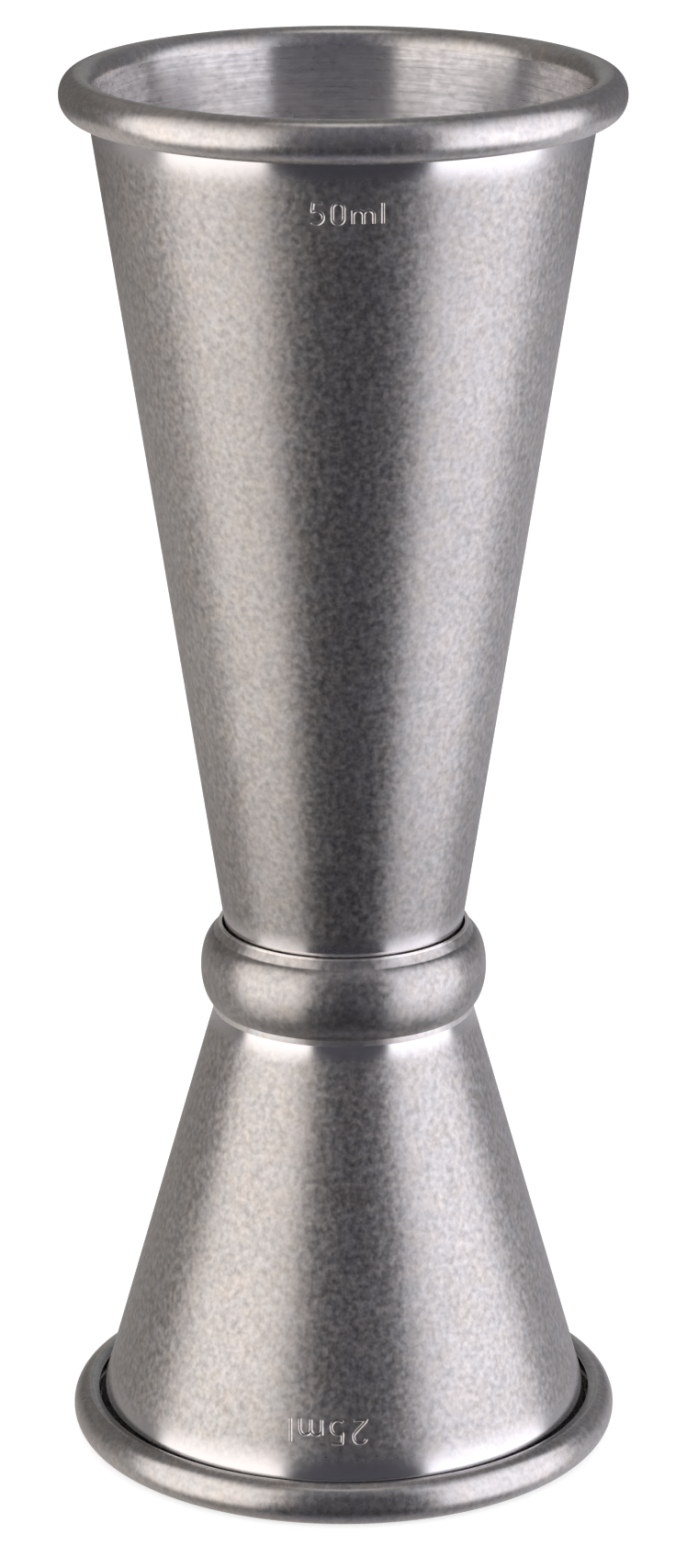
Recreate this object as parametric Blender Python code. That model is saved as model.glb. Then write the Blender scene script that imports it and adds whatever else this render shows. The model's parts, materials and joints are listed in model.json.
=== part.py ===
"""A double-ended cocktail jigger: two spun steel cups, base to base, with a formed band round the waist.

Units are metres and +Z is the axis of both cups. The small cup's rim rests on z = 0, and the large cup
opens upwards. Every piece is a turned form: a profile of (radius, height) points is worked out from the
sizes below, and then spun about the axis.
"""
import math

import bmesh
import bpy

# Heights
OVERALL_HEIGHT = 0.1150
WAIST_HEIGHT = 0.0407

# Cups: a rim radius is to the outside of the rolled rim, a base radius to the outside of the bare wall
UPPER_RIM_RADIUS = 0.02245
LOWER_RIM_RADIUS = 0.02280
UPPER_BASE_RADIUS = 0.00932
LOWER_BASE_RADIUS = 0.00985
SHEET = 0.0008
BASE_FILLET = 0.0015

# Rolled rims: the oval hollow that the sheet is rolled round, the slot that the curl leaves open
# beside the wall, and the flat that is faced on the crown
CURL_HOLLOW_WIDTH = 0.00124
CURL_HOLLOW_HEIGHT = 0.00184
CURL_SLOT = 0.0004
RIM_LAND = 0.0004

# Waist collar: a bowed band with both edges turned in, hollow behind
COLLAR_HEIGHT = 0.00624
COLLAR_PROJECTION = 0.0012
COLLAR_SHEET = 0.0008
COLLAR_BOW = 0.0006

# The lip on the collar's upper edge: it leaves the web's oval at an angle short of the top, and rises
# to a narrow land that hugs the large cup
COLLAR_LIP_RISE = 0.00068
COLLAR_LIP_LAND = 0.00012
COLLAR_LIP_START = math.radians(77)

# Weld between the two bases, and the clearance that neighbouring pieces keep
WELD_RADIUS = 0.0050
WELD_THICKNESS = 0.0004
SEAT_GAP = 0.0003

# Facets
SEGMENTS = 48
ARC_STEP = math.radians(18)
WELD_EDGE_STEP = math.radians(45)
SHARP_ANGLE = math.radians(40)
MERGE_DISTANCE = 0.000001

# Worked out from the sizes above
BASE_SPACING = WELD_THICKNESS + 2 * SEAT_GAP
UPPER_DEPTH = OVERALL_HEIGHT - WAIST_HEIGHT - BASE_SPACING / 2
LOWER_DEPTH = WAIST_HEIGHT - BASE_SPACING / 2


def arc(centre, half_width, half_height, start, end, longest_step=ARC_STEP):
    """Points of an oval arc from one angle to another, with both ends, in even steps."""
    steps = math.ceil(abs(end - start) / longest_step)
    angles = [start + (end - start) * step / steps for step in range(steps + 1)]
    return [
        (centre[0] + half_width * math.cos(angle), centre[1] + half_height * math.sin(angle))
        for angle in angles
    ]


def base_fillet(corner, slope, radius):
    """The arc that rounds the corner between a cup's wall and its base, from the base up to the wall."""
    lean = math.atan(slope)
    setback = radius * math.tan((math.pi / 2 - lean) / 2)
    centre = (corner[0] - setback, corner[1] + radius)
    return arc(centre, radius, radius, -math.pi / 2, -lean)


def curl_centre(depth, rim_radius):
    """The middle of the rolled rim's oval section, in the cup's own frame."""
    half_width = CURL_HOLLOW_WIDTH / 2 + SHEET
    half_height = CURL_HOLLOW_HEIGHT / 2 + SHEET
    land_angle = math.asin(RIM_LAND / 2 / half_width)
    return rim_radius - half_width, depth - half_height * math.cos(land_angle)


def wall_slope(depth, rim_radius, base_radius):
    """How far a cup's wall leans out for each unit of height.

    The outside of the wall starts at the corner of the base and runs in a straight line up to where it
    touches the curl's hollow. Squashed to a unit circle, that is the tangent to a circle from a point.
    """
    centre = curl_centre(depth, rim_radius)
    across = (base_radius - centre[0]) / (CURL_HOLLOW_WIDTH / 2)
    down = -centre[1] / (CURL_HOLLOW_HEIGHT / 2)
    touch = math.atan2(down, across) - math.acos(1 / math.hypot(across, down))
    touch_radius = centre[0] + CURL_HOLLOW_WIDTH / 2 * math.cos(touch)
    touch_height = centre[1] + CURL_HOLLOW_HEIGHT / 2 * math.sin(touch)
    return (touch_radius - base_radius) / touch_height


def cup_profile(depth, rim_radius, base_radius):
    """Outline of the sheet, from the axis inside the cup, over the rolled rim, to the axis under the base.

    The cup stands on its base at height 0 and opens upwards. Inside and outside are the two faces of one
    sheet, so each stretch comes twice, the inner one first.
    """
    centre = curl_centre(depth, rim_radius)
    slope = wall_slope(depth, rim_radius, base_radius)
    inner_half = (CURL_HOLLOW_WIDTH / 2, CURL_HOLLOW_HEIGHT / 2)
    outer_half = (inner_half[0] + SHEET, inner_half[1] + SHEET)

    # Angles round the section at which the wall runs into the curl, and those of the land on the crown
    inner_touch = math.pi - math.atan(slope * inner_half[1] / inner_half[0])
    outer_touch = math.pi - math.atan(slope * outer_half[1] / outer_half[0])
    land_angle = math.asin(RIM_LAND / 2 / outer_half[0])

    # The curl ends where its cut edge comes within the slot's width of the wall
    rise = slope * outer_half[1]
    wall_at_centre = base_radius + slope * centre[1] - centre[0]
    reach = math.acos((wall_at_centre + CURL_SLOT) / math.hypot(outer_half[0], rise))
    cut_angle = -reach - math.atan2(rise, outer_half[0])

    crown_in = arc(centre, *outer_half, outer_touch, math.pi / 2 + land_angle)
    crown_out = arc(centre, *outer_half, math.pi / 2 - land_angle, 0.0)
    under = arc(centre, *outer_half, 0.0, cut_angle)[1:]
    hollow = arc(centre, *inner_half, cut_angle, inner_touch)

    # Inside corner of the base: the wall's inner face carried down to the base's inner face
    inner_corner_radius = crown_in[0][0] - slope * (crown_in[0][1] - SHEET)
    inside = base_fillet((inner_corner_radius, SHEET), slope, BASE_FILLET)
    outside = base_fillet((base_radius, 0.0), slope, BASE_FILLET + SHEET)
    over = crown_in + crown_out + under
    return [(0.0, SHEET)] + inside + over + hollow + outside[::-1] + [(0.0, 0.0)]


def upper_wall_radius(height):
    """Outside radius of the large cup's wall at a height above the waist."""
    slope = wall_slope(UPPER_DEPTH, UPPER_RIM_RADIUS, UPPER_BASE_RADIUS)
    return UPPER_BASE_RADIUS + slope * (height - BASE_SPACING / 2)


def lower_wall_radius(height):
    """Outside radius of the small cup's wall at a height above the waist, which is negative there."""
    slope = wall_slope(LOWER_DEPTH, LOWER_RIM_RADIUS, LOWER_BASE_RADIUS)
    return LOWER_BASE_RADIUS + slope * (-height - BASE_SPACING / 2)


def collar_profile():
    """Closed section of the band before it is bored: a bowed web with a flange turned in at each edge.

    The upper flange carries the lip, which ends in its land beside the large cup's wall.
    """
    half_height = COLLAR_HEIGHT / 2
    covered = max(upper_wall_radius(half_height), lower_wall_radius(-half_height))
    centre = (covered + COLLAR_PROJECTION - COLLAR_SHEET - COLLAR_BOW, 0.0)
    flange_radius = min(UPPER_BASE_RADIUS, LOWER_BASE_RADIUS)
    quarter = math.pi / 2
    web_out = arc(centre, COLLAR_BOW + COLLAR_SHEET, half_height, COLLAR_LIP_START, -quarter)
    web_in = arc(centre, COLLAR_BOW, half_height - COLLAR_SHEET, -quarter, quarter)
    lower_edge = [(flange_radius, -half_height), (flange_radius, COLLAR_SHEET - half_height)]
    lip_top = half_height + COLLAR_LIP_RISE
    lip_radius = upper_wall_radius(lip_top) + SEAT_GAP + COLLAR_LIP_LAND
    upper_edge = [(flange_radius, half_height - COLLAR_SHEET), (flange_radius, lip_top), (lip_radius, lip_top)]
    return web_out + lower_edge + web_in + upper_edge


def collar_bore_profile():
    """Both cups' walls, grown by the seat gap and run past the collar's edges, to bore the collar with."""
    past = COLLAR_HEIGHT
    upper_slope = wall_slope(UPPER_DEPTH, UPPER_RIM_RADIUS, UPPER_BASE_RADIUS)
    lower_slope = wall_slope(LOWER_DEPTH, LOWER_RIM_RADIUS, LOWER_BASE_RADIUS)
    upper_gap = SEAT_GAP * math.hypot(1.0, upper_slope)
    lower_gap = SEAT_GAP * math.hypot(1.0, lower_slope)
    return [
        (0.0, past),
        (upper_wall_radius(past) + upper_gap, past),
        (upper_wall_radius(BASE_SPACING / 2) + upper_gap, BASE_SPACING / 2),
        (lower_wall_radius(-BASE_SPACING / 2) + lower_gap, -BASE_SPACING / 2),
        (lower_wall_radius(-past) + lower_gap, -past),
        (0.0, -past),
    ]


def weld_profile():
    """A flat nugget with a round edge, from the axis above to the axis below."""
    half = WELD_THICKNESS / 2
    edge = arc((WELD_RADIUS - half, 0.0), half, half, math.pi / 2, -math.pi / 2, WELD_EDGE_STEP)
    return [(0.0, half)] + edge + [(0.0, -half)]


def steel(name, colour, roughness):
    """A bare steel finish of its own for one piece."""
    material = bpy.data.materials.new(name)
    material.use_nodes = True
    shader = material.node_tree.nodes["Principled BSDF"]
    shader.inputs["Base Color"].default_value = (*colour, 1.0)
    shader.inputs["Metallic"].default_value = 1.0
    shader.inputs["Roughness"].default_value = roughness
    return material


def turned(name, profile, parent, material=None):
    """Spins a profile about the axis into a named object. A profile that leaves the axis is a closed ring."""
    shape = bmesh.new()
    points = [shape.verts.new((radius, 0.0, height)) for radius, height in profile]
    edges = [shape.edges.new(pair) for pair in zip(points, points[1:])]
    if profile[0][0] > 0:
        edges.append(shape.edges.new((points[-1], points[0])))
    bmesh.ops.spin(
        shape, geom=points + edges, cent=(0, 0, 0), axis=(0, 0, 1),
        angle=math.tau, steps=SEGMENTS, use_merge=True,
    )
    bmesh.ops.remove_doubles(shape, verts=shape.verts, dist=MERGE_DISTANCE)
    bmesh.ops.recalc_face_normals(shape, faces=shape.faces)
    mesh = bpy.data.meshes.new(name)
    shape.to_mesh(mesh)
    shape.free()
    mesh.shade_smooth()
    mesh.set_sharp_from_angle(angle=SHARP_ANGLE)
    if material:
        mesh.materials.append(material)
    piece = bpy.data.objects.new(name, mesh)
    piece.parent = parent
    bpy.context.scene.collection.objects.link(piece)
    return piece


def clear_scene():
    """Removes what the file opened with."""
    for item in list(bpy.data.objects):
        bpy.data.objects.remove(item)


def make_waist():
    """The empty at the joint between the cups, which every piece is placed from."""
    waist = bpy.data.objects.new("waist", None)
    waist.location = (0.0, 0.0, WAIST_HEIGHT)
    bpy.context.scene.collection.objects.link(waist)
    return waist


def make_upper_cup(waist):
    """The large cup, standing on the weld."""
    profile = cup_profile(UPPER_DEPTH, UPPER_RIM_RADIUS, UPPER_BASE_RADIUS)
    cup = turned("upper_cup", profile, waist, steel("upper_cup_steel", (0.43, 0.41, 0.40), 0.36))
    cup.location = (0.0, 0.0, BASE_SPACING / 2)


def make_lower_cup(waist):
    """The small cup, upside down under the weld."""
    profile = cup_profile(LOWER_DEPTH, LOWER_RIM_RADIUS, LOWER_BASE_RADIUS)
    cup = turned("lower_cup", profile, waist, steel("lower_cup_steel", (0.44, 0.42, 0.41), 0.36))
    cup.location = (0.0, 0.0, -BASE_SPACING / 2)
    cup.rotation_euler = (math.pi, 0.0, 0.0)


def make_collar(waist):
    """The band round the joint, bored to fit both walls with the seat gap."""
    bore = turned("collar_bore", collar_bore_profile(), waist)
    bore.hide_render = True
    bore.display_type = "WIRE"
    collar = turned("waist_collar", collar_profile(), waist, steel("collar_steel", (0.42, 0.40, 0.39), 0.34))
    cut = collar.modifiers.new("bore", "BOOLEAN")
    cut.operation = "DIFFERENCE"
    cut.object = bore
    join = collar.modifiers.new("join", "WELD")
    join.merge_threshold = MERGE_DISTANCE


def make_weld(waist):
    """The nugget that joins the two bases."""
    turned("base_weld", weld_profile(), waist, steel("weld_steel", (0.30, 0.28, 0.27), 0.60))


clear_scene()
waist = make_waist()
make_upper_cup(waist)
make_lower_cup(waist)
make_collar(waist)
make_weld(waist)
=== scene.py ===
# %% [markdown]
# # A double-ended jigger in satin steel
#
# A jigger is a bar measure: two spun steel cups joined base to base, with a formed band round the waist.
# The engineering model holds the sizes and the structure. This script gives it its looks: the two cups and
# the collar each get a finely spun piece over them, and the steel gets its tumbled grain, its turned lines
# and its marks.
#
# The imported model is loaded first and never changed.

# %% Load the imported model
import bpy
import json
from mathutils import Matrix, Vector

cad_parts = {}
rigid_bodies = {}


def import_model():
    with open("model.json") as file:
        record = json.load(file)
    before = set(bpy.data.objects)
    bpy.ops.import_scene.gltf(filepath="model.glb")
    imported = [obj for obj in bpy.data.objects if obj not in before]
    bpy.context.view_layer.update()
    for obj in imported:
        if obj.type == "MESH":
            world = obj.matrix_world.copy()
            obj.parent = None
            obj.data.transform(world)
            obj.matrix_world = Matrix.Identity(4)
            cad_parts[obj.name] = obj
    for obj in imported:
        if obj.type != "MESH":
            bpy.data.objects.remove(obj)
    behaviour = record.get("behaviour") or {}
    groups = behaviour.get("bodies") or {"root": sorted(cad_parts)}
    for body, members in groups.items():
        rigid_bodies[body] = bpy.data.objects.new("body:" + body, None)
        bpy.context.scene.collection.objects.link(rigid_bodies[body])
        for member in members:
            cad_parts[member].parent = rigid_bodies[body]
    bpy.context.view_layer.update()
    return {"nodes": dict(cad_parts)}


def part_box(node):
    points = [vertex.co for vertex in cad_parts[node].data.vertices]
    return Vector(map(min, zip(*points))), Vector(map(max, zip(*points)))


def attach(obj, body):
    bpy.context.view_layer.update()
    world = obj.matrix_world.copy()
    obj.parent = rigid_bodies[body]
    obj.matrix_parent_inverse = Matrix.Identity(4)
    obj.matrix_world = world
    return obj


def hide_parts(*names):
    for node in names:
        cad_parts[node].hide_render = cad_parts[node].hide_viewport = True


bpy.ops.object.select_all(action="SELECT")
bpy.ops.object.delete()
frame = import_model()
print("nodes:", sorted(frame["nodes"]))

# %% [markdown]
# ## Small helpers
#
# Operators act on whatever is selected, and loading a model leaves all of it selected. So each step starts
# by deselecting everything, and picks what it works on by its place.

# %% Selecting by place
import json
import math

import bmesh


def deselect():
    """Leaves nothing selected, so that the next operator acts only on what it makes or is given."""
    bpy.ops.object.select_all(action="DESELECT")


def pick(piece, wanted):
    """In edit mode, selects the points of a piece that a test on their place picks, and nothing else."""
    bpy.ops.mesh.select_all(action="DESELECT")
    shape = bmesh.from_edit_mesh(piece.data)
    for point in shape.verts:
        point.select_set(wanted(point.co))
    shape.select_flush(True)
    bmesh.update_edit_mesh(piece.data)


def near(place):
    """A test that picks the points at a place."""
    return lambda point: (point - place).length < SAME_PLACE


MM = 0.001
SAME_PLACE = 0.002 * MM
print("points closer than", SAME_PLACE / MM, "mm count as one")

# %% Drawing a line point by point
from mathutils import Vector


def start_line(name, place):
    """A piece of one point, in edit mode: a tiny plane merged to its middle, as it is done by hand."""
    deselect()
    bpy.ops.mesh.primitive_plane_add(size=MM, location=place)
    piece = bpy.context.object
    piece.name = name
    bpy.ops.object.transform_apply(location=True, rotation=False, scale=False)
    bpy.ops.object.mode_set(mode="EDIT")
    bpy.ops.mesh.select_mode(type="VERT")
    bpy.ops.mesh.select_all(action="SELECT")
    bpy.ops.mesh.merge(type="CENTER")
    return piece


def draw_on(piece, start, end):
    """Extrudes the point at one place to another place."""
    pick(piece, near(start))
    bpy.ops.mesh.extrude_region_move(TRANSFORM_OT_translate={"value": end - start})


def turn_profile(piece, segments):
    """Spins a profile once about the axis, closes the seam and the poles, and points the faces out."""
    bpy.ops.mesh.select_all(action="SELECT")
    bpy.ops.mesh.spin(steps=segments, angle=math.tau, center=(0, 0, 0), axis=(0, 0, 1))
    bpy.ops.mesh.select_all(action="SELECT")
    bpy.ops.mesh.remove_doubles(threshold=SAME_PLACE)
    bpy.ops.mesh.normals_make_consistent(inside=False)
    bpy.ops.object.mode_set(mode="OBJECT")


def apply_modifiers(piece):
    """Applies the modifiers of a piece, in order."""
    deselect()
    piece.select_set(True)
    bpy.context.view_layer.objects.active = piece
    for modifier in list(piece.modifiers):
        bpy.ops.object.modifier_apply(modifier=modifier.name)


# %% [markdown]
# ## The camera
#
# The view is the photograph's: a long lens, a little above the rim, looking down by about 17 degrees. The
# sensor's width is laid along the long side of the frame, which here is the height.

# %% Camera
FRAME_HEIGHT = 1708
LENS_IN_PIXELS = 5944
SENSOR = 36.0
CAMERA_BACK = 0.4263
CAMERA_UP = 0.1901
CAMERA_RIGHT = 0.00045
CAMERA_TILT = math.radians(17.44)

deselect()
bpy.ops.object.camera_add(
    location=(CAMERA_RIGHT, -CAMERA_BACK, CAMERA_UP), rotation=(math.pi / 2 - CAMERA_TILT, 0, 0)
)
camera = bpy.context.object
camera.data.sensor_width = SENSOR
camera.data.lens = SENSOR * LENS_IN_PIXELS / FRAME_HEIGHT
camera.data.clip_start = 0.01
camera.data.clip_end = 20
bpy.context.scene.camera = camera
print("lens in mm:", round(camera.data.lens, 1))

# %% [markdown]
# ## The cups
#
# A real cup is spun from one disc of sheet: the metal is pressed over a turning former until it has a flat
# base, a conical wall and a rim rolled outwards. The roll stays open, with its cut edge beside the wall.
#
# So the cup is drawn the same way, as the middle line of one sheet. The line is rolled through an oval arc
# at the rim, runs straight down the wall, turns in at the base and ends on the axis. Spinning it gives a
# surface, and Solidify gives that its thickness on both sides, which makes a true open curl with a true cut
# edge.

# %% Sizes of the sheet and the rims
SHEET = 0.8 * MM
HOLLOW_WIDTH = 1.24 * MM
HOLLOW_HEIGHT = 1.84 * MM
CURL_SLOT = 0.4 * MM
RIM_LAND = 0.4 * MM
BASE_FILLET = 1.5 * MM
UPPER_BASE_RADIUS = 9.32 * MM
LOWER_BASE_RADIUS = 9.85 * MM
CUP_SEGMENTS = 288
CURL_STEPS = 56
WALL_CUTS = 40
FILLET_STEPS = 10
EDGE_ROUND = 0.05 * MM
CUT_EDGE_ANGLE = math.radians(60)
SMOOTH_ANGLE = math.radians(32)

upper_low, upper_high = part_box("upper_cup")
lower_low, lower_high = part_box("lower_cup")
print("large cup in mm:", round(upper_high.x / MM, 2), "x", round((upper_high.z - upper_low.z) / MM, 2))
print("small cup in mm:", round(lower_high.x / MM, 2), "x", round((lower_high.z - lower_low.z) / MM, 2))


# %% Where the wall meets the curl
def curl_middle(depth, rim_radius):
    """The middle of the rolled rim's section, in a cup that stands on its base."""
    half_width = HOLLOW_WIDTH / 2 + SHEET
    half_height = HOLLOW_HEIGHT / 2 + SHEET
    land_angle = math.asin(RIM_LAND / 2 / half_width)
    return Vector((rim_radius - half_width, 0, depth - half_height * math.cos(land_angle)))


def wall_slope(depth, rim_radius, base_radius):
    """How far the wall leans out for each unit of height: its outside is a tangent to the curl's hollow."""
    middle = curl_middle(depth, rim_radius)
    across = (base_radius - middle.x) / (HOLLOW_WIDTH / 2)
    down = -middle.z / (HOLLOW_HEIGHT / 2)
    touch = math.atan2(down, across) - math.acos(1 / math.hypot(across, down))
    touch_radius = middle.x + HOLLOW_WIDTH / 2 * math.cos(touch)
    touch_height = middle.z + HOLLOW_HEIGHT / 2 * math.sin(touch)
    return (touch_radius - base_radius) / touch_height


def cut_angle(depth, rim_radius, base_radius):
    """The angle round the section at which the curl stops, a slot's width from the wall."""
    middle = curl_middle(depth, rim_radius)
    slope = wall_slope(depth, rim_radius, base_radius)
    half_width = HOLLOW_WIDTH / 2 + SHEET
    rise = slope * (HOLLOW_HEIGHT / 2 + SHEET)
    wall_at_middle = base_radius + slope * middle.z - middle.x
    reach = math.acos((wall_at_middle + CURL_SLOT) / math.hypot(half_width, rise))
    return -reach - math.atan2(rise, half_width)


upper_size = (upper_high.z - upper_low.z, upper_high.x, UPPER_BASE_RADIUS)
lower_size = (lower_high.z - lower_low.z, lower_high.x, LOWER_BASE_RADIUS)
print("wall slopes:", round(wall_slope(*upper_size), 4), round(wall_slope(*lower_size), 4))


# %% Draw and spin one cup
def spun_cup(name, depth, rim_radius, base_radius):
    """A cup on its base at height 0, mouth up: the sheet's middle line is drawn, spun and thickened."""
    middle = curl_middle(depth, rim_radius)
    slope = wall_slope(depth, rim_radius, base_radius)
    half_width = (HOLLOW_WIDTH + SHEET) / 2
    half_height = (HOLLOW_HEIGHT + SHEET) / 2
    touch = math.pi - math.atan(slope * half_height / half_width)
    roll = touch - cut_angle(depth, rim_radius, base_radius)

    # The rim is rolled as a round arc first, then drawn out to an oval
    round_touch = middle + half_width * Vector((math.cos(touch), 0, math.sin(touch)))
    cup = start_line(name, round_touch)
    bpy.ops.mesh.spin(steps=CURL_STEPS, angle=roll, center=middle, axis=(0, -1, 0))
    bpy.ops.mesh.select_all(action="SELECT")
    bpy.ops.transform.resize(value=(1, 1, half_height / half_width), center_override=middle)

    # The wall and the base, in straight runs to the axis
    oval_touch = middle + Vector((half_width * math.cos(touch), 0, half_height * math.sin(touch)))
    corner = Vector((oval_touch.x - slope * (oval_touch.z - SHEET / 2), 0, SHEET / 2))
    draw_on(cup, oval_touch, corner)
    draw_on(cup, corner, Vector((0, 0, SHEET / 2)))
    pick(cup, lambda point: near(oval_touch)(point) or near(corner)(point))
    bpy.ops.mesh.subdivide(number_cuts=WALL_CUTS)
    pick(cup, near(corner))
    setback = (BASE_FILLET + SHEET / 2) * math.tan((math.pi / 2 - math.atan(slope)) / 2)
    bpy.ops.mesh.bevel(affect="VERTICES", offset=setback, segments=FILLET_STEPS)

    turn_profile(cup, CUP_SEGMENTS)
    sheet = cup.modifiers.new("sheet", "SOLIDIFY")
    sheet.thickness = SHEET
    sheet.offset = 0
    sheet.use_even_offset = True
    edges = cup.modifiers.new("cut_edges", "BEVEL")
    edges.width = EDGE_ROUND
    edges.segments = 2
    edges.limit_method = "ANGLE"
    edges.angle_limit = CUT_EDGE_ANGLE
    apply_modifiers(cup)
    return cup


# %% Face the rim, and set a cup in its place
def face_land(cup, depth):
    """Presses the crown of the rim flat, on the plane that the jigger stands on."""
    bpy.ops.object.mode_set(mode="EDIT")
    pick(cup, lambda point: point.z > depth)
    bpy.ops.transform.resize(value=(1, 1, 0), center_override=(0, 0, depth))
    bpy.ops.object.mode_set(mode="OBJECT")
    bpy.ops.object.shade_smooth_by_angle(angle=SMOOTH_ANGLE)


def stand_at(cup, turn, height):
    """Turns a cup about X and lifts it, and puts both into its mesh, so that it stays at the origin."""
    deselect()
    cup.select_set(True)
    cup.rotation_euler = (turn, 0, 0)
    cup.location = (0, 0, height)
    bpy.ops.object.transform_apply(location=True, rotation=True, scale=True)


def count_faces(piece):
    """Prints how many triangles a piece has, how many of its edges are open, and its volume."""
    shape = bmesh.new()
    shape.from_mesh(piece.data)
    open_edges = sum(1 for edge in shape.edges if not edge.is_manifold)
    triangles = sum(len(face.verts) - 2 for face in shape.faces)
    print(piece.name, "triangles:", triangles, "open edges:", open_edges, "volume in ml:",
          round(shape.calc_volume(signed=True) * 1e6, 3))
    shape.free()


# %% The large cup, on the weld
large_cup = spun_cup("large_cup", *upper_size)
face_land(large_cup, upper_size[0])
stand_at(large_cup, 0, upper_low.z)
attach(large_cup, "root")
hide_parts("upper_cup")
count_faces(large_cup)

# %% The small cup, upside down under the weld
small_cup = spun_cup("small_cup", *lower_size)
face_land(small_cup, lower_size[0])
stand_at(small_cup, math.pi, lower_high.z)
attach(small_cup, "root")
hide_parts("lower_cup")
count_faces(small_cup)

# %% [markdown]
# ## The waist collar
#
# The collar is a band of sheet with a bowed face, and both its edges are turned in towards the cups. They
# were pressed against the cups, which left a small lip at the top and a thinner one at the bottom.
#
# It is easiest to draw as a flat section: an oval face, inset by the sheet's thickness, gives an even wall.
# Half of it is cut away, the two ends are drawn in to the cups, top and bottom are drawn out for the lips,
# and both ends are cut to lie along the cups with a fine gap between. A cone seen in section is a straight
# line, so those cuts are plain bisects.

# %% Sizes of the collar
COLLAR_HEIGHT = 6.24 * MM
COLLAR_PROJECTION = 1.2 * MM
COLLAR_SHEET = 0.8 * MM
COLLAR_BOW = 0.6 * MM
COLLAR_OVAL_POINTS = 112
COLLAR_SEGMENTS = 256
LIP_CORNER_ANGLE = math.radians(140)
EDGE_STEPS = 4
SMALL_STEPS = 3

# A lip starts some points short of the oval's end. It stands out along Z, and its land is its flat end
UPPER_LIP = {"points_short": 4, "stands_out": 0.70 * MM, "land": 0.28 * MM, "gap": 0.19 * MM,
             "edge_round": 0.12 * MM, "inner_round": 0.05 * MM, "crease_round": 0.10 * MM}
LOWER_LIP = {"points_short": 6, "stands_out": 0.36 * MM, "land": 0.07 * MM, "gap": 0.06 * MM,
             "edge_round": 0.03 * MM, "inner_round": 0.015 * MM, "crease_round": 0.03 * MM}

waist = (upper_low.z + lower_high.z) / 2
upper_slope = wall_slope(*upper_size)
lower_slope = wall_slope(*lower_size)


def upper_wall(height):
    """Outside radius of the large cup's wall at a height."""
    return UPPER_BASE_RADIUS + upper_slope * (height - upper_low.z)


def lower_wall(height):
    """Outside radius of the small cup's wall at a height."""
    return LOWER_BASE_RADIUS + lower_slope * (lower_high.z - height)


top_edge = waist + COLLAR_HEIGHT / 2
bottom_edge = waist - COLLAR_HEIGHT / 2
covered = max(upper_wall(top_edge), lower_wall(bottom_edge))
oval_middle = Vector((covered + COLLAR_PROJECTION - COLLAR_SHEET - COLLAR_BOW, 0, waist))
print("collar radius in mm:", round((covered + COLLAR_PROJECTION) / MM, 3), "at height:", waist / MM)

# %% Draw the section
deselect()
bpy.ops.mesh.primitive_circle_add(
    vertices=COLLAR_OVAL_POINTS, radius=1, fill_type="NGON", location=oval_middle,
    rotation=(math.pi / 2, 0, 0),
)
collar = bpy.context.object
collar.name = "collar"
bpy.ops.transform.resize(value=(COLLAR_BOW + COLLAR_SHEET, 1, COLLAR_HEIGHT / 2))
bpy.ops.object.transform_apply(location=True, rotation=True, scale=True)
bpy.ops.object.mode_set(mode="EDIT")
bpy.ops.mesh.select_mode(type="VERT")
bpy.ops.mesh.select_all(action="SELECT")
bpy.ops.mesh.inset(thickness=0)
bpy.ops.transform.resize(
    value=(COLLAR_BOW / (COLLAR_BOW + COLLAR_SHEET), 1, 1 - COLLAR_SHEET / (COLLAR_HEIGHT / 2)),
    center_override=oval_middle,
)
bpy.ops.mesh.delete(type="FACE")
bpy.ops.mesh.select_all(action="SELECT")
bpy.ops.mesh.bisect(plane_co=oval_middle, plane_no=(-1, 0, 0), clear_outer=True, threshold=SAME_PLACE)
pick(collar, lambda point: abs(point.x - oval_middle.x) < SAME_PLACE)
flange_radius = min(UPPER_BASE_RADIUS, LOWER_BASE_RADIUS)
bpy.ops.mesh.extrude_region_move(TRANSFORM_OT_translate={"value": (flange_radius - oval_middle.x, 0, 0)})


# %% Draw the two lips out of it
def draw_lip(lip, end, wall_radius):
    """Draws a lip out of the section's top, where end is 1, or bottom, where it is -1. Gives its crease."""
    stands_out = lip["stands_out"]
    turn = math.tau * lip["points_short"] / COLLAR_OVAL_POINTS
    crease = oval_middle + Vector(((COLLAR_BOW + COLLAR_SHEET) * math.sin(turn), 0,
                                   end * COLLAR_HEIGHT / 2 * math.cos(turn)))
    lip_end = waist + end * (COLLAR_HEIGHT / 2 + stands_out)
    lip_radius = wall_radius(lip_end) + lip["gap"] + lip["land"]
    pick(collar, lambda point: end * (point.z - crease.z) > -SAME_PLACE)
    bpy.ops.mesh.extrude_region_move(TRANSFORM_OT_translate={"value": (0, 0, end * stands_out)})
    bpy.ops.transform.resize(
        value=((lip_radius - flange_radius) / (crease.x - flange_radius), 1, 0),
        center_override=(flange_radius, 0, lip_end),
    )
    print("lip in mm: radius", round(lip_radius / MM, 2), "height", round(lip_end / MM, 2))
    return crease


upper_crease = draw_lip(UPPER_LIP, 1, upper_wall)
lower_crease = draw_lip(LOWER_LIP, -1, lower_wall)


# %% Cut it along the two cups
def bore(wall_place, slope_out, gap):
    """Cuts the section along one cup's wall, a gap off it. The slope is the wall's run per unit of rise."""
    normal = Vector((-1, 0, slope_out)).normalized()
    bpy.ops.mesh.select_all(action="SELECT")
    bpy.ops.mesh.bisect(
        plane_co=wall_place - normal * gap, plane_no=normal, clear_outer=True, threshold=SAME_PLACE
    )


bore(Vector((upper_wall(top_edge), 0, top_edge)), upper_slope, UPPER_LIP["gap"])
bore(Vector((lower_wall(bottom_edge), 0, bottom_edge)), -lower_slope, LOWER_LIP["gap"])

# %% Find the lips' corners
bpy.ops.mesh.select_all(action="SELECT")
bpy.ops.mesh.dissolve_faces()
bpy.ops.mesh.delete(type="ONLY_FACE")


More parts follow.
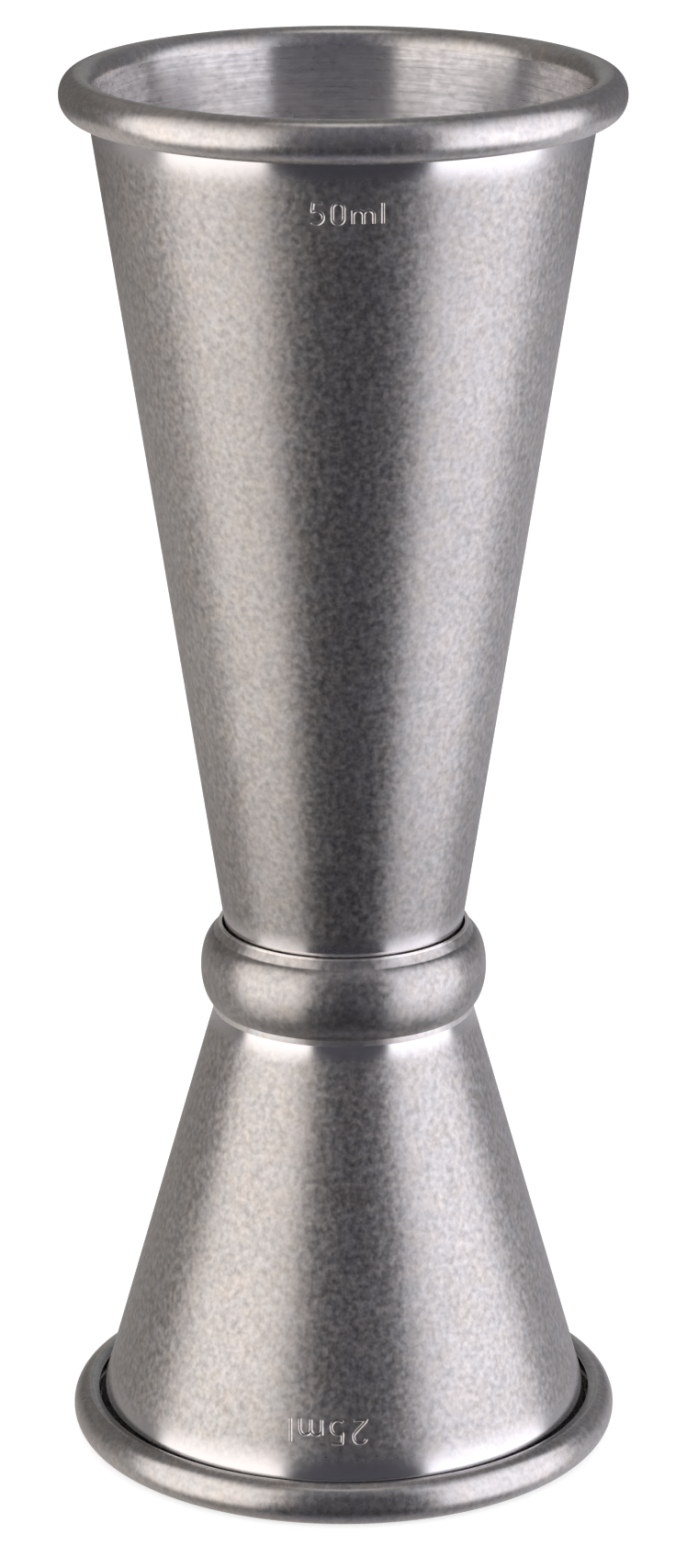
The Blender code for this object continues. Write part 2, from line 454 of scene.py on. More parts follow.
def lip_corners():
    """The places where the outline of a lip turns sharply, apart from its crease."""
    outline = bmesh.from_edit_mesh(collar.data)
    corners = []
    for point in outline.verts:
        first, second = [edge.other_vert(point).co - point.co for edge in point.link_edges]
        on_lip = abs(point.co.z - waist) > COLLAR_HEIGHT / 2 + SAME_PLACE
        if on_lip and first.angle(second) < LIP_CORNER_ANGLE:
            corners.append(point.co.copy())
    return corners


def beside_cup(place):
    """True for a corner at the cup's side of a lip's land, and False for one at its outer side."""
    lip, wall_radius = (UPPER_LIP, upper_wall) if place.z > waist else (LOWER_LIP, lower_wall)
    return place.x - wall_radius(place.z) < lip["gap"] + lip["land"] / 4


# %% Round the corners and spin the section
def round_corners(places, width, steps):
    """Rounds the corners of the outline at some places."""
    for place in places:
        pick(collar, near(place))
        bpy.ops.mesh.bevel(affect="VERTICES", offset=width, segments=steps)


corners = lip_corners()
print("corners:", len(corners), "of them beside the cups:", sum(map(beside_cup, corners)))
for lip, crease, end in ((UPPER_LIP, upper_crease, 1), (LOWER_LIP, lower_crease, -1)):
    own_corners = [corner for corner in corners if end * (corner.z - waist) > 0]
    outer_corners = [corner for corner in own_corners if not beside_cup(corner)]
    inner_corners = [corner for corner in own_corners if beside_cup(corner)]
    round_corners(outer_corners, lip["edge_round"], EDGE_STEPS)
    round_corners(inner_corners, lip["inner_round"], SMALL_STEPS)
    round_corners([crease], lip["crease_round"], SMALL_STEPS)
turn_profile(collar, COLLAR_SEGMENTS)
bpy.ops.object.shade_smooth_by_angle(angle=SMOOTH_ANGLE)
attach(collar, "root")
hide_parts("waist_collar")
count_faces(collar)

# %% [markdown]
# ## The volume marks
#
# Each cup carries its volume near the rim, as plain figures pressed into the wall: 50 ml in the large one
# and 25 ml, upside down, in the small one. The strokes are round-bottomed grooves, and they show in the
# photograph because their two sides catch the lights at left and right.
#
# They are cut the way an engraver would: each letter is drawn as the line the tool follows, laid on the
# wall by Shrinkwrap, given a round section as thick as the tool, and taken out of the wall by a Boolean.

# %% The tool's paths
TOOL_RADIUS = 0.19 * MM
TOOL_LIFT = 0.11 * MM
TOOL_DETAIL = 5
TOOL_VOXEL = 0.03 * MM
STROKE_STEP = 0.12 * MM
ARC_STEPS = 16
MARK_GAP = 0.42
BOWL_START = math.radians(130)
HOOK_START = math.radians(160)

# Each letter is its width and its strokes, in letter heights. A stroke starts at a place and goes on by
# lines, given by their end, and by clockwise arcs, given by their centre and their turn in degrees
LETTERS = {
    "0": (0.52, [[(0, 0.74), ("arc", 0.26, 0.74, 180), (0.52, 0.26), ("arc", 0.26, 0.26, 180), (0, 0.74)]]),
    "2": (0.58, [[(0.29 + 0.29 * math.cos(HOOK_START), 0.71 + 0.29 * math.sin(HOOK_START)),
                  ("arc", 0.29, 0.71, 195), (0, 0), (0.58, 0)]]),
    "5": (0.58, [[(0.54, 1), (0.1, 1),
                  (0.27 + 0.31 * math.cos(BOWL_START), 0.31 + 0.31 * math.sin(BOWL_START)),
                  ("arc", 0.27, 0.31, 265)]]),
    "m": (0.96, [[(0, 0), (0, 0.66)],
                 [(0, 0.42), ("arc", 0.24, 0.42, 180), (0.48, 0)],
                 [(0.48, 0.42), ("arc", 0.72, 0.42, 180), (0.96, 0)]]),
    "l": (0, [[(0, 0), (0, 1)]]),
}


# %% Draw the letters
def draw_stroke(name, left, tall, stroke):
    """One stroke of a letter as a line in the plane of X and Z, with the letter's left edge at a place."""

    def place(across, up):
        return Vector((left + across * tall, 0, (up - 0.5) * tall))

    end = place(*stroke[0])
    piece = start_line(name, end)
    for step in stroke[1:]:
        if step[0] == "arc":
            centre = place(step[1], step[2])
            bpy.ops.mesh.spin(steps=ARC_STEPS, angle=math.radians(step[3]), center=centre, axis=(0, -1, 0))
            arm = end - centre
            turn = math.radians(step[3])
            end = centre + Vector((arm.x * math.cos(turn) + arm.z * math.sin(turn), 0,
                                   arm.z * math.cos(turn) - arm.x * math.sin(turn)))
        else:
            target = place(*step)
            cuts = max(1, round((target - end).length / STROKE_STEP))
            for cut in range(1, cuts + 1):
                bpy.ops.mesh.extrude_region_move(TRANSFORM_OT_translate={"value": (target - end) / cuts})
            end = target
    bpy.ops.object.mode_set(mode="OBJECT")
    return piece


def draw_word(name, word, tall):
    """The strokes of a word, centred on the origin, joined in one piece."""
    width = sum(LETTERS[letter][0] for letter in word) + MARK_GAP * (len(word) - 1)
    left = -width / 2 * tall
    strokes = []
    for letter in word:
        letter_width, paths = LETTERS[letter]
        for path in paths:
            strokes.append(draw_stroke(name, left, tall, path))
        left += (letter_width + MARK_GAP) * tall
    deselect()
    for stroke in strokes:
        stroke.select_set(True)
    bpy.context.view_layer.objects.active = strokes[0]
    bpy.ops.object.join()
    print(name, "is", round(width * tall / MM, 2), "mm wide")
    return strokes[0]


# %% Lay a word on a wall and thicken it
def lay_on_wall(lettering, cup):
    """Pushes a line in front of a cup back to its wall, and leaves the tool's middle a little off it."""
    laid = lettering.modifiers.new("laid_on_wall", "SHRINKWRAP")
    laid.target = cup
    laid.wrap_method = "PROJECT"
    laid.use_project_y = True
    laid.use_project_x = False
    laid.use_project_z = False
    laid.use_positive_direction = True
    laid.use_negative_direction = False
    laid.offset = TOOL_LIFT
    apply_modifiers(lettering)


def thicken_line(finish):
    """Gives the selected line a round section and makes it one closed body, in the grooves' finish."""
    bpy.ops.object.convert(target="CURVE")
    lettering = bpy.context.object
    lettering.data.bevel_depth = TOOL_RADIUS
    lettering.data.bevel_resolution = TOOL_DETAIL
    lettering.data.use_fill_caps = True
    bpy.ops.object.convert(target="MESH")
    lettering = bpy.context.object
    whole = lettering.modifiers.new("one_body", "REMESH")
    whole.mode = "VOXEL"
    whole.voxel_size = TOOL_VOXEL
    apply_modifiers(lettering)
    lettering.data.materials.clear()
    lettering.data.materials.append(finish)
    return lettering


# %% Press a word into a cup
def press_mark(cup, word, tall, turned, sideways, height, finish):
    """Draws a word in front of a cup, lays it on the wall and cuts it out."""
    lettering = draw_word("mark_" + word, word, tall)
    lettering.rotation_euler = (0, math.pi if turned else 0, 0)
    lettering.location = (sideways, -cup.dimensions.x, height)
    bpy.ops.object.transform_apply(location=True, rotation=True, scale=True)
    lay_on_wall(lettering, cup)
    lettering = thicken_line(finish)
    cut = cup.modifiers.new("mark", "BOOLEAN")
    cut.operation = "DIFFERENCE"
    cut.solver = "EXACT"
    cut.object = lettering
    cut.material_mode = "TRANSFER"
    apply_modifiers(cup)
    bpy.ops.object.shade_smooth_by_angle(angle=SMOOTH_ANGLE)
    deselect()
    lettering.select_set(True)
    bpy.ops.object.delete()
    count_faces(cup)


# %% [markdown]
# ## The finishes of the steel
#
# All of it is one stainless steel, and most of what differs is how it was worked. The outside was tumbled,
# which leaves a soft grain of tiny dents about half a millimetre across. The tumbling stones don't reach into
# the corners beside the rims and the collar, so a narrow band there keeps the bright drawn surface. The rims
# are worn smoother than the walls. The inside still shows the fine rings that the spinning tool left. Some
# parts are darkened as painted shade, where they mirror a darker table or lie deep in a cup, and the collar's
# lip edges are brightened as a painted glint.
#
# Every pattern is made from Object coordinates, in millimetres, so that the grain has its real size.

# %% Helpers for materials
def add_node(tree, kind, sockets=None, **settings):
    """Adds a node with its settings, and its sockets set to a value or joined to another node's output."""
    made = tree.nodes.new(kind)
    for name, value in settings.items():
        setattr(made, name, value)
    for socket, value in (sockets or {}).items():
        if isinstance(value, bpy.types.NodeSocket):
            tree.links.new(value, made.inputs[socket])
        else:
            made.inputs[socket].default_value = value
    return made


def calculate(tree, operation, *values):
    """A Math node's result."""
    return add_node(tree, "ShaderNodeMath", dict(enumerate(values)), operation=operation).outputs[0]


def stretch(tree, value, old_low, old_high, new_low, new_high, smooth=True):
    """Maps one range of a value to another, on a smooth or a straight slope, and holds it at the ends."""
    sockets = {0: value, 1: old_low, 2: old_high, 3: new_low, 4: new_high}
    kind = "SMOOTHSTEP" if smooth else "LINEAR"
    return add_node(tree, "ShaderNodeMapRange", sockets, interpolation_type=kind).outputs[0]


def blend_colours(tree, amount, first, second):
    """Mixes two colours."""
    sockets = {0: amount, 6: first, 7: second}
    return add_node(tree, "ShaderNodeMix", sockets, data_type="RGBA").outputs[2]


def noise_of(tree, place, scale, detail, roughness):
    """Soft noise around 0.5 at a number of lumps per unit of the coordinates."""
    sockets = {"Vector": place, "Scale": scale, "Detail": detail, "Roughness": roughness}
    return add_node(tree, "ShaderNodeTexNoise", sockets).outputs["Fac"]


def in_millimetres(tree, stretch_by=(1, 1, 1)):
    """Object coordinates in millimetres, with each axis stretched as asked."""
    coordinates = add_node(tree, "ShaderNodeTexCoord")
    scale = [1 / MM / factor for factor in stretch_by]
    sockets = {"Vector": coordinates.outputs["Object"], "Scale": scale}
    return add_node(tree, "ShaderNodeMapping", sockets).outputs[0]


def grey(level):
    """A steel grey, very slightly warm."""
    return (level * 1.02, level, level, 1)


# %% Tumbled steel
# Soft noise lies between two values nearly everywhere, and a pattern is stretched between them
MOST_NOISE = (0.3, 0.7)
GRAIN_NOISE = (0.2, 0.8)
TINT_NOISE = (0.36, 0.64)
RING_NOISE = (0.34, 0.66)
GRAIN_STRETCH = (1, 1, 1.1)
GRAIN_PER_MM = 2.1
GRAIN_DENT = 0.010 * MM
GRAIN_TONE = 0.33
GRAIN_ROUGHNESS = 0.06
CLOUDS_PER_MM = 0.22
CLOUD_TONE = 0.04
TINT_PER_MM = 0.55
STEEL_TINTS = ((1.06, 1, 0.945, 1), (1.02, 1, 0.99, 1))
CORNER_LEVEL = 0.92
CORNER_ROUGHNESS = 0.15
CORNER_WAVE = 0.8
# Where a corner's band is this bright, no more than this share of the dents is left
DENTS_FADE = (0.3, 0.12)


def tumbled_steel(name, level, roughness, grain_share=1.0, corners=(), painted_shade=None):
    """Satin steel with a tumbled grain. Each corner is a height and a reach along Z, and stays bright.

    Lower down, the steel's colour can be darkened as painted shade, for the darker table that it mirrors
    near the object. The last argument gives the two heights between which the darkening changes, and the
    share of its level that the steel keeps.
    """
    material = bpy.data.materials.new(name)
    material.use_nodes = True
    tree = material.node_tree
    shader = tree.nodes["Principled BSDF"]
    place = in_millimetres(tree, GRAIN_STRETCH)
    grain = noise_of(tree, place, GRAIN_PER_MM, detail=1.5, roughness=0.55)
    clouds = noise_of(tree, place, CLOUDS_PER_MM, detail=3, roughness=0.55)
    tint = noise_of(tree, place, TINT_PER_MM, detail=2, roughness=0.6)
    spread = GRAIN_TONE * grain_share
    tone = stretch(tree, grain, *GRAIN_NOISE, 1 - spread, 1 + spread, smooth=False)
    drift = stretch(tree, clouds, *MOST_NOISE, 1 - CLOUD_TONE, 1 + CLOUD_TONE, smooth=False)
    tone = calculate(tree, "MULTIPLY", tone, drift)
    tone = calculate(tree, "MULTIPLY", tone, level)
    height = add_node(tree, "ShaderNodeSeparateXYZ", {0: in_millimetres(tree)}).outputs[2]
    # Painted shade: the colour gets darker lower down
    if painted_shade:
        tone = calculate(tree, "MULTIPLY", tone, stretch(tree, height, painted_shade[0], painted_shade[1], painted_shade[2], 1))
    hue = blend_colours(tree, stretch(tree, tint, *TINT_NOISE, 0, 1, smooth=False), *STEEL_TINTS)
    colour = add_node(tree, "ShaderNodeVectorMath", {0: hue, 3: tone}, operation="SCALE").outputs[0]
    uneven = GRAIN_ROUGHNESS * grain_share
    rough = stretch(tree, grain, *GRAIN_NOISE, roughness - uneven, roughness + uneven, smooth=False)
    dents = grain
    if corners:
        wave = calculate(tree, "SUBTRACT", clouds, 0.5)
        worn_line = calculate(tree, "MULTIPLY_ADD", wave, CORNER_WAVE, height)
        bright = None
        for corner, reach in corners:
            band = stretch(tree, worn_line, corner, corner + reach, 1, 0)
            bright = band if bright is None else calculate(tree, "MAXIMUM", bright, band)
        inverse = calculate(tree, "SUBTRACT", 1, bright)
        colour = blend_colours(tree, bright, colour, grey(CORNER_LEVEL))
        rough = calculate(tree, "ADD", calculate(tree, "MULTIPLY", rough, inverse),
                          calculate(tree, "MULTIPLY", bright, CORNER_ROUGHNESS))
        left = stretch(tree, bright, 0, DENTS_FADE[0], 1, DENTS_FADE[1])
        dents = calculate(tree, "MULTIPLY", grain, left)
    bump = add_node(tree, "ShaderNodeBump", {"Distance": GRAIN_DENT * grain_share, "Height": dents})
    tree.links.new(colour, shader.inputs["Base Color"])
    tree.links.new(rough, shader.inputs["Roughness"])
    tree.links.new(bump.outputs[0], shader.inputs["Normal"])
    shader.inputs["Metallic"].default_value = 1
    return material


# %% [markdown]
# ## The turned inside
#
# The spinning tool leaves fine grooves round the axis, and the tumbling doesn't reach in there. Cut in the
# mesh they would take millions of faces. So noise that is long round the axis and short along the wall
# stands for the coarse ones, and the shader's anisotropy for the fine ones: it blurs what the steel mirrors
# across the grooves and leaves it sharp along them.

# %% Steel turned on the inside
RING_PER_MM = 4.0
RING_LENGTH = 0.035
RING_DEPTH = 0.002 * MM
RING_TONE = 0.20
RING_SHARE = 0.55
RING_ROUGHNESS = 0.04
RING_STRETCH = 0.87
QUARTER_TURN = 0.25
DEEP_GRAIN_STRETCH = (1.6, 1.6, 1)
DEEP_CLOUDS_PER_MM = 0.3
DEEP_CLOUD_TONE = 0.03
# Painted shade in the depth of the cups: two distances from the waist in mm. At the first one the steel keeps
# this share of its level, and at the second all of it
INSIDE_PAINTED_SHADE = (52, 64, 0.5)


def turned_steel(name, level, roughness):
    """The spun inside, with fine rings round the axis, which blur what it mirrors up and down."""
    material = bpy.data.materials.new(name)
    material.use_nodes = True
    tree = material.node_tree
    shader = tree.nodes["Principled BSDF"]
    parts = add_node(tree, "ShaderNodeSeparateXYZ", {0: in_millimetres(tree)})
    across, deep, up = parts.outputs
    radius = calculate(tree, "SQRT", calculate(tree, "ADD", calculate(tree, "MULTIPLY", across, across),
                                               calculate(tree, "MULTIPLY", deep, deep)))
    travel = calculate(tree, "ADD", up, radius)
    joined = add_node(tree, "ShaderNodeCombineXYZ", {
        0: calculate(tree, "MULTIPLY", across, RING_LENGTH),
        1: calculate(tree, "MULTIPLY", deep, RING_LENGTH),
        2: travel,
    }).outputs[0]
    rings = noise_of(tree, joined, RING_PER_MM, detail=2, roughness=0.6)
    place = in_millimetres(tree, DEEP_GRAIN_STRETCH)
    dents = noise_of(tree, place, GRAIN_PER_MM, detail=1.5, roughness=0.55)
    dents = calculate(tree, "MULTIPLY", dents, 1 - RING_SHARE)
    rings = calculate(tree, "MULTIPLY_ADD", rings, RING_SHARE, dents)
    clouds = noise_of(tree, in_millimetres(tree), DEEP_CLOUDS_PER_MM, detail=2, roughness=0.5)
    colour = blend_colours(tree, stretch(tree, rings, *RING_NOISE, 0, 1, smooth=False),
                           grey(level * (1 - RING_TONE)), grey(level * (1 + RING_TONE)))
    from_waist = calculate(tree, "ABSOLUTE", calculate(tree, "SUBTRACT", up, waist / MM))
    drift = stretch(tree, clouds, *MOST_NOISE, 1 - DEEP_CLOUD_TONE, 1 + DEEP_CLOUD_TONE, smooth=False)
    # Painted shade: the inside gets darker towards the bottoms of the cups
    tone = calculate(tree, "MULTIPLY", drift, stretch(tree, from_waist, *INSIDE_PAINTED_SHADE, 1))
    colour = add_node(tree, "ShaderNodeVectorMath", {0: colour, 3: tone}, operation="SCALE").outputs[0]
    matt, polished = roughness + RING_ROUGHNESS, roughness - RING_ROUGHNESS
    rough = stretch(tree, rings, *MOST_NOISE, matt, polished, smooth=False)
    bump = add_node(tree, "ShaderNodeBump", {"Distance": RING_DEPTH, "Height": rings})
    around = add_node(tree, "ShaderNodeTangent", direction_type="RADIAL", axis="Z")
    tree.links.new(colour, shader.inputs["Base Color"])
    tree.links.new(rough, shader.inputs["Roughness"])
    tree.links.new(bump.outputs[0], shader.inputs["Normal"])
    tree.links.new(around.outputs[0], shader.inputs["Tangent"])
    shader.inputs["Metallic"].default_value = 1
    shader.inputs["Anisotropic"].default_value = RING_STRETCH
    shader.inputs["Anisotropic Rotation"].default_value = QUARTER_TURN
    return material


# %% [markdown]
# ## Which surface gets which finish
#
# A cup is one sheet, but its outside, its rim and its inside were worked in different ways. Cutting it in
# three pieces would be untrue to it, so it stays whole, and each face gets its finish by where it lies and
# which way it looks.
#
# The marks are pressed after that, because the Boolean gives the grooves the finish of the tool that cuts
# them, and choosing by place would take it away again.

# %% The finishes one by one
# The large wall is darkened towards the waist, as painted shade for the darker table that it mirrors there
large_wall = tumbled_steel("large_cup_wall", level=0.60, roughness=0.35,
                           corners=[(111.4, -2.6), (44.4, 2.2)], painted_shade=(46, 68, 0.78))
small_wall = tumbled_steel("small_cup_wall", level=0.61, roughness=0.35,
                           corners=[(37.1, -1.9), (3.2, 2.8)])
large_rim = tumbled_steel("large_cup_rim", level=0.78, roughness=0.26, grain_share=0.55)
# The small rim's level is lower than the large rim's, as painted shade for the floor's shadow that it mirrors
shaded_small_rim = tumbled_steel("small_cup_rim", level=0.69, roughness=0.27, grain_share=0.6)
# The lip edges' steel is set far brighter than the collar's, to paint the glint that they catch
painted_glint_edge = tumbled_steel("painted_glint_edge", level=0.95, roughness=0.30, grain_share=0.5)
# The collar is darkened towards its bottom, as painted shade for the darker table that it mirrors there
collar_steel = tumbled_steel("collar_band", level=0.61, roughness=0.31, grain_share=0.85,
                             painted_shade=(39.9, 41.6, 0.78))
weld_steel = tumbled_steel("weld_bead", level=0.5, roughness=0.4)
turned_inside = turned_steel("turned_inside", level=0.86, roughness=0.25)
mark_steel = tumbled_steel("pressed_mark", level=0.80, roughness=0.25, grain_share=0.5)
print("materials:", sorted(material.name for material in bpy.data.materials))

# %% Helpers that finish faces
# A face that looks up as straight as this is the base's, and one this far off the wall is the curl's
FLAT_BASE = 0.9
BESIDE_WALL = 0.15 * MM


def finish_faces(piece, finishes, choose):
    """Gives a piece its finishes, and each face the one that a test on its centre and normal picks."""
    piece.data.materials.clear()
    for finish in finishes:
        piece.data.materials.append(finish)
    for face in piece.data.polygons:
        face.material_index = choose(face.center, face.normal)
    chosen = [face.material_index for face in piece.data.polygons]
    print(piece.name, {finish.name: chosen.count(index) for index, finish in enumerate(finishes)})


def cup_surface(rim, base, curl_start):
    """Which surface of a cup a face is on: 0 the outside of the wall, 1 the rolled rim, 2 the inside."""
    upwards = 1 if rim > base else -1

    def choose(centre, normal):
        outwards = normal.x * centre.x + normal.y * centre.y
        from_base = (centre.z - base) * upwards
        if from_base > abs(curl_start - base):
            return 1
        if outwards < 0 or normal.z * upwards > FLAT_BASE:
            return 2
        wall = upper_wall(centre.z) if upwards > 0 else lower_wall(centre.z)
        return 1 if math.hypot(centre.x, centre.y) > wall + BESIDE_WALL else 0

    return choose


# %% Finish the two cups
large_curl = curl_middle(*upper_size[:2]).z + upper_low.z
small_curl = lower_high.z - curl_middle(*lower_size[:2]).z
large_surface = cup_surface(upper_high.z, upper_low.z, large_curl)
small_surface = cup_surface(0, lower_high.z, small_curl)
finish_faces(large_cup, (large_wall, large_rim, turned_inside), large_surface)
finish_faces(small_cup, (small_wall, shaded_small_rim, turned_inside), small_surface)


# %% Finish the collar and the weld
def collar_surface(centre, normal):
    """Which surface of the collar a face is on: 0 its face, 1 the edges of its lips, which carry a painted
    glint.
    """
    upper_edge = top_edge + UPPER_LIP["stands_out"] - UPPER_LIP["edge_round"]
    return 1 if centre.z > upper_edge or centre.z < bottom_edge else 0


finish_faces(collar, (collar_steel, painted_glint_edge), collar_surface)
weld = frame["nodes"]["base_weld"]
weld.material_slots[0].material = weld_steel
print(weld.name, weld.material_slots[0].material.name)

# %% Press the two marks
press_mark(large_cup, "50ml", tall=1.66 * MM, turned=False, sideways=0.29 * MM, height=107.5 * MM,
           finish=mark_steel)
press_mark(small_cup, "25ml", tall=1.84 * MM, turned=True, sideways=-1.2 * MM, height=7.05 * MM,
           finish=mark_steel)

# %% [markdown]
# ## The studio
#
# Steel has no colour of its own to speak of: it shows the room. The photograph's steel shows a soft lamp on
# each side, dark in front where the camera stands, a dim ceiling, and a paler table. That room could be
# built from panels and area lamps, but each soft edge would need a panel of its own. Here it is drawn as
# light levels round the horizon and from floor to ceiling, which a set of shader nodes turns into light.
#
# The world shows that room far away, below the horizon and overhead. The camera sees plain white behind the
# object instead.

# %% Light levels of the room
# Angles round the room are degrees from the front, where the camera stands, and grow to the right
LEFT_LAMP = (-93, -27)
RIGHT_LAMP = (38, 105)
LAMP_EDGE = 5
# Towards the table a lamp's near edge moves by this much for each degree
LEFT_LEAN = 0.34
RIGHT_LEAN = -0.17
BEHIND = (70, 115)
BACK_MIDDLE = (-10, 10)
BACKDROP = (162, 174)
# Each stop of a ramp is a height in degrees above the horizon and the light's level there
LEFT_LEVELS = [
    (-90, 0.22), (-68, 0.28), (-54, 0.21), (-43, 0.27), (-34, 0.80), (-26, 1.10), (0, 1.12),
    (26, 1.02), (36, 0.86), (44, 0.67), (52, 0.46), (60, 0.32), (70, 0.17),
]
RIGHT_LEVELS = [
    (-90, 0.22), (-68, 0.25), (-54, 0.22), (-43, 0.33), (-34, 0.94), (-26, 1.22), (0, 1.20),
    (26, 1.10), (36, 0.93), (44, 0.73), (52, 0.50), (60, 0.34), (70, 0.18),
]
FRONT_LEVELS = [
    (-90, 0.24), (-68, 0.17), (-52, 0.056), (-40, 0.037), (-30, 0.042), (-18, 0.056), (0, 0.063),
    (16, 0.063), (38, 0.11), (60, 0.13),
]
BACK_LEFT_LEVELS = [
    (-90, 0.20), (-60, 0.36), (-38, 0.44), (-15, 0.31), (8, 0.13), (36, 0.12), (48, 0.20),
    (58, 0.20), (70, 0.12),
]
BACK_RIGHT_LEVELS = [
    (-90, 0.22), (-60, 0.38), (-38, 0.50), (-15, 0.42), (8, 0.17), (36, 0.13), (48, 0.17),
    (58, 0.17), (70, 0.13),
]
BACKDROP_LEVELS = [(-90, 0.25), (-30, 0.50), (-8, 0.50), (8, 0.36), (22, 0.26), (52, 0.18), (80, 0.13)]
# Straight overhead hangs a small lamp, which lights the bottom of the cup: where it starts, and its level
OVERHEAD = (72, 86)
OVERHEAD_LEVEL = 0.70
WARM = (1.055, 1, 0.98)
COOL = (1.02, 1, 1.075)
DIM = (1.015, 1, 1.2)
PLAIN = (1, 1, 1)
print("lamps in degrees from the front:", LEFT_LAMP, RIGHT_LAMP)


# %% Helpers for the room
def level_by_height(tree, height_angle, levels, tint):
    """A ramp from floor to ceiling."""
    share = stretch(tree, height_angle, -90, 90, 0, 1, smooth=False)
    ramp = add_node(tree, "ShaderNodeValToRGB", {0: share})
    stops = ramp.color_ramp.elements
    while len(stops) < len(levels):
        stops.new(0.5)
    for stop, (height, level) in zip(stops, levels):
        stop.position = (height + 90) / 180
        stop.color = (level * tint[0], level * tint[1], level * tint[2], 1)
    return ramp.outputs[0]


def lamp_shape(tree, around_room, height_angle, near_edge, far_edge):
    """1 inside a lamp, by the angle round the room. The dark part in front is wider towards the table."""
    below = calculate(tree, "MINIMUM", height_angle, 0)
    lean = LEFT_LEAN if near_edge < 0 else RIGHT_LEAN
    angle = calculate(tree, "MULTIPLY_ADD", below, -lean, around_room)
    soft = math.copysign(LAMP_EDGE, near_edge) / 2
    near_side = stretch(tree, angle, near_edge - soft, near_edge + soft, 0, 1)
    far_side = stretch(tree, around_room, far_edge - 2 * soft, far_edge + 2 * soft, 1, 0)
    return calculate(tree, "MULTIPLY", near_side, far_side)


def room_light(tree, direction):
    """The light that comes from a direction, worked out in a shader's nodes."""
    ahead = add_node(tree, "ShaderNodeSeparateXYZ", {0: direction}).outputs
    turn_from_front = calculate(tree, "ARCTAN2", ahead[0], calculate(tree, "MULTIPLY", ahead[1], -1))
    around_room = calculate(tree, "MULTIPLY", turn_from_front, 180 / math.pi)
    height_angle = calculate(tree, "MULTIPLY", calculate(tree, "ARCSINE", ahead[2]), 180 / math.pi)

    def levels(ramp, tint):
        return level_by_height(tree, height_angle, ramp, tint)

    from_front = calculate(tree, "ABSOLUTE", around_room)
    behind = stretch(tree, from_front, *BEHIND, 0, 1)
    to_right = stretch(tree, around_room, *BACK_MIDDLE, 0, 1)
    backdrop = stretch(tree, from_front, *BACKDROP, 0, 1)
    left_lamp = lamp_shape(tree, around_room, height_angle, LEFT_LAMP[1], LEFT_LAMP[0])
    right_lamp = lamp_shape(tree, around_room, height_angle, *RIGHT_LAMP)
    back = blend_colours(tree, to_right, levels(BACK_LEFT_LEVELS, WARM), levels(BACK_RIGHT_LEVELS, COOL))
    light = blend_colours(tree, behind, levels(FRONT_LEVELS, DIM), back)
    light = blend_colours(tree, left_lamp, light, levels(LEFT_LEVELS, WARM))
    light = blend_colours(tree, right_lamp, light, levels(RIGHT_LEVELS, COOL))
    light = blend_colours(tree, backdrop, light, levels(BACKDROP_LEVELS, PLAIN))
    return blend_colours(tree, stretch(tree, height_angle, *OVERHEAD, 0, 1), light, grey(OVERHEAD_LEVEL))


# %% The room far away, in the world's shader
studio = bpy.data.worlds.new("studio")
studio.use_nodes = True
bpy.context.scene.world = studio
room = studio.node_tree
looking = add_node(room, "ShaderNodeTexCoord").outputs["Generated"]
seen = add_node(room, "ShaderNodeLightPath").outputs["Is Camera Ray"]
light = blend_colours(room, seen, room_light(room, looking), (1, 1, 1, 1))
room.links.new(light, room.nodes["Background"].inputs["Color"])
studio.cycles.sampling_method = "NONE"
print("nodes in the room's shader:", len(room.nodes))

# %% [markdown]
# ## The light tent
#
# Product photographs are lit from close by. A lamp a hand's length away slides up the steel as the wall
# leans out, and a world can't show that, because it is infinitely far. So the same room is shown once more
# on an open cylinder round the object. Only the steel sees it: it hides nothing from the camera and casts
# no shadow.

# %% The lamps close by, in a light tent
TENT_RADIUS = 170 * MM
TENT_LOW = 57 * MM
TENT_HIGH = 700 * MM
TENT_SIDES = 128

deselect()
bpy.ops.mesh.primitive_cylinder_add(
    vertices=TENT_SIDES, radius=TENT_RADIUS, depth=TENT_HIGH - TENT_LOW, end_fill_type="NOTHING",
    location=(0, 0, (TENT_HIGH + TENT_LOW) / 2),
)
tent = bpy.context.object
tent.name = "light_tent"
bpy.ops.object.transform_apply(location=True, rotation=True, scale=True)
glowing = bpy.data.materials.new("light_tent")
glowing.use_nodes = True
tree = glowing.node_tree
spot = add_node(tree, "ShaderNodeTexCoord").outputs["Object"]
middle = (0, 0, TENT_LOW)
spoke = add_node(tree, "ShaderNodeVectorMath", {0: spot, 1: middle}, operation="SUBTRACT").outputs[0]
outwards = add_node(tree, "ShaderNodeVectorMath", {0: spoke}, operation="NORMALIZE").outputs[0]
glow = add_node(tree, "ShaderNodeEmission", {"Color": room_light(tree, outwards)})
tree.links.new(glow.outputs[0], tree.nodes["Material Output"].inputs["Surface"])
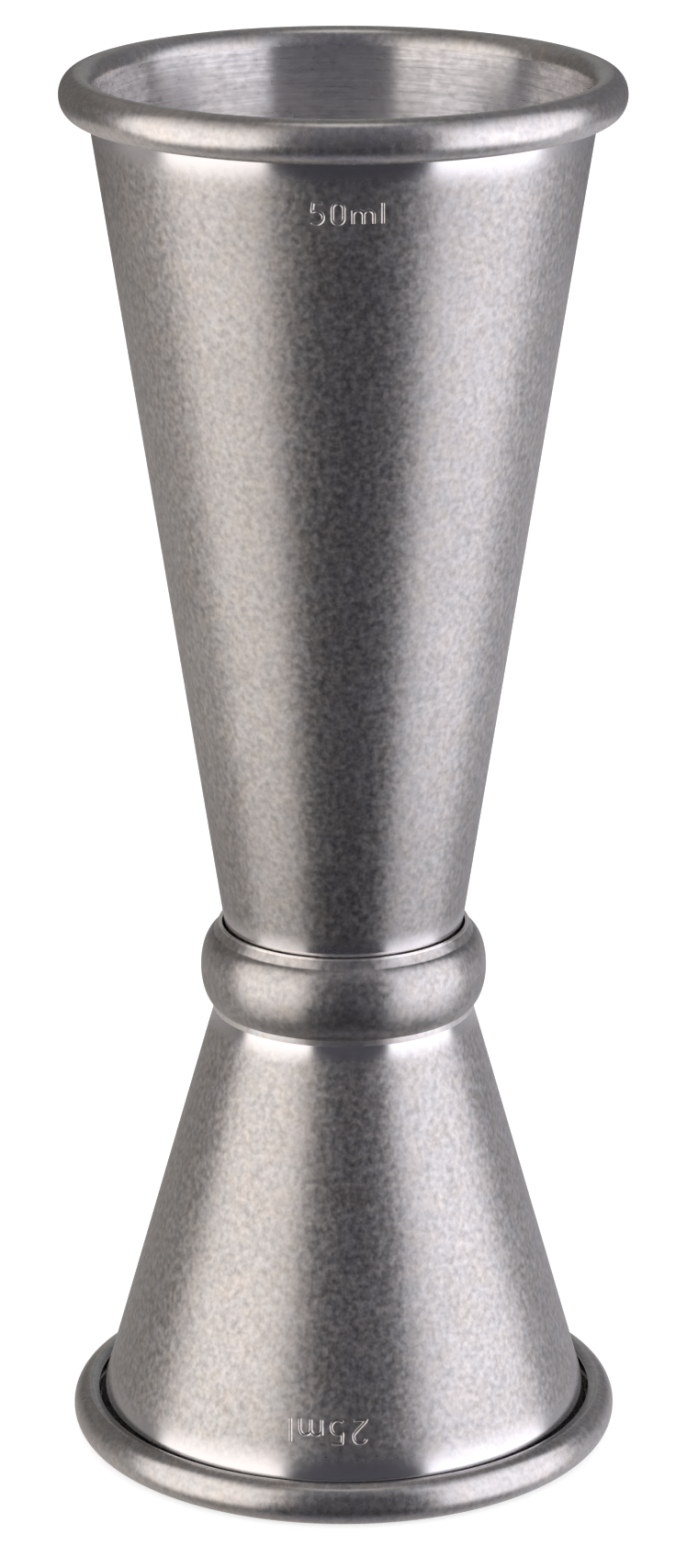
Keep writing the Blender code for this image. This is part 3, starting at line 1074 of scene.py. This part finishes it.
tent.data.materials.append(glowing)
tent.visible_camera = False
tent.visible_diffuse = False
tent.visible_shadow = False
print("tent in mm:", [round(size / MM) for size in tent.dimensions])

# %% [markdown]
# ## The floor
#
# The floor is matt and white. To the camera it gives a little light of its own, so that it meets the white
# background without an edge, and the object's soft shadow still falls on it. A broad lamp overhead makes
# that shadow, and the steel doesn't mirror it, as its ceiling is dim in the photograph.

# %% Floor and overhead lamp
FLOOR_SIZE = 12
FLOOR_GLOW = 0.72
FLOOR_WHITE = 0.42
OVERHEAD_POWER = 2.6
OVERHEAD_SPREAD = math.radians(100)

deselect()
bpy.ops.mesh.primitive_plane_add(size=FLOOR_SIZE, location=(0, 0, 0))
floor = bpy.context.object
floor.name = "floor"
paper = bpy.data.materials.new("white_floor")
paper.use_nodes = True
tree = paper.node_tree
matt = add_node(tree, "ShaderNodeBsdfDiffuse", {"Color": (FLOOR_WHITE, FLOOR_WHITE, FLOOR_WHITE, 1)})
seen = add_node(tree, "ShaderNodeLightPath").outputs["Is Camera Ray"]
glow = add_node(tree, "ShaderNodeEmission", {"Strength": calculate(tree, "MULTIPLY", seen, FLOOR_GLOW)})
both = add_node(tree, "ShaderNodeAddShader", {0: matt.outputs[0], 1: glow.outputs[0]})
tree.links.new(both.outputs[0], tree.nodes["Material Output"].inputs["Surface"])
floor.data.materials.append(paper)
floor.visible_glossy = False
floor.visible_shadow = False

deselect()
bpy.ops.object.light_add(type="SUN", location=(0, 0, 1))
overhead = bpy.context.object
overhead.data.energy = OVERHEAD_POWER
overhead.data.angle = OVERHEAD_SPREAD
overhead.visible_glossy = False
print("floor in m:", FLOOR_SIZE, "lamp power:", OVERHEAD_POWER)

# %% [markdown]
# ## The last settings
#
# The Standard view shows each colour as it was written, where the default view would soften the bright
# steel.

# %% Colours as written
bpy.context.scene.view_settings.view_transform = "Standard"
print("view:", bpy.context.scene.view_settings.view_transform)
